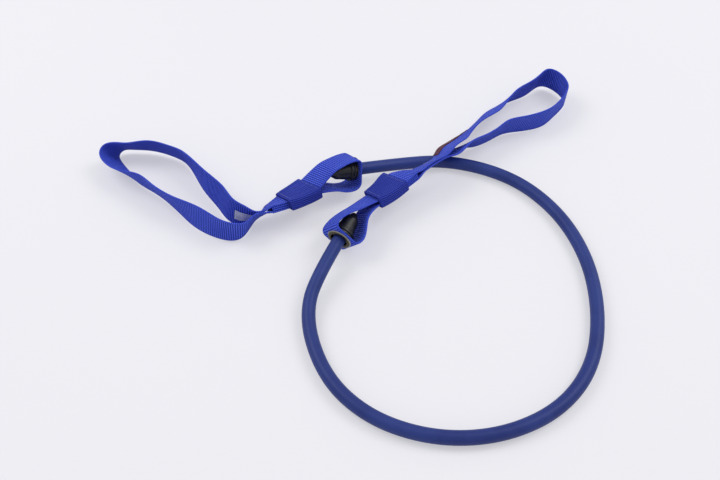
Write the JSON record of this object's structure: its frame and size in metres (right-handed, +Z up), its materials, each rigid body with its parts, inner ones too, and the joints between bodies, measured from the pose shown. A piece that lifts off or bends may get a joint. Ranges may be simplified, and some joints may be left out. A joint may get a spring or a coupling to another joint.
{
  "type": "resistance band",
  "caption": "Tube resistance band: a hollow rubber tube with a flat webbing handle loop held on each end by a grommet and an end stopper.",
  "frame": {"origin": "on the surface that the band lies on, below the middle of the two handles' box, measured without the tube", "axes": "+X along the longest side of the two handles as they lie, +Z up from the surface"},
  "size_m": [0.4352, 0.3893, 0.0378],
  "materials": {
    "tube_rubber": "smooth latex, soft sheen",
    "blue_webbing": "ribbed polypropylene webbing",
    "keeper_webbing": "woven keeper sleeve, sewn flat",
    "plated_grommet": "nickel plated, satin",
    "brass_washer": "dull stamped brass",
    "clear_washer": "pale nylon",
    "black_stopper": "moulded black plastic",
    "black_plug": "moulded black plastic",
    "white_label": "blank satin label",
    "red_label": "blank satin label"
  },
  "bodies": {
    "band": {"tube": "tube_rubber", "left_stopper": "black_stopper", "right_stopper": "black_stopper", "left_tube_plug": "black_plug", "right_tube_plug": "black_plug"},
    "left_thrust": {"left_thrust_washer": "clear_washer"},
    "left_handle": {"left_hand_loop": "blue_webbing", "left_anchor_loop": "blue_webbing", "left_keeper": "keeper_webbing", "left_grommet": "plated_grommet", "left_grommet_washer": "brass_washer", "left_label": "white_label"},
    "right_thrust": {"right_thrust_washer": "clear_washer"},
    "right_handle": {"right_hand_loop": "blue_webbing", "right_anchor_loop": "blue_webbing", "right_keeper": "keeper_webbing", "right_grommet": "plated_grommet", "right_grommet_washer": "brass_washer", "right_label": "red_label"}
  },
  "joints": [
    {"name": "left_slide_on_tube", "type": "slide", "parent": "band", "child": "left_thrust", "axis": [0.8682, 0.4234, -0.2588], "range_m": [0, 0.0015]},
    {"name": "left_swivel_on_tube", "type": "hinge", "parent": "left_thrust", "child": "left_handle", "pos_m": [0.0123, -0.0212, 0.018], "axis": [0.8682, 0.4234, -0.2588], "range_deg": [-180, 180]},
    {"name": "right_slide_on_tube", "type": "slide", "parent": "band", "child": "right_thrust", "axis": [-0.466, -0.8764, -0.1219], "range_m": [0, 0.0015]},
    {"name": "right_swivel_on_tube", "type": "hinge", "parent": "right_thrust", "child": "right_handle", "pos_m": [0.0003, -0.102, 0.019], "axis": [-0.466, -0.8764, -0.1219], "range_deg": [0, 120]}
  ]
}
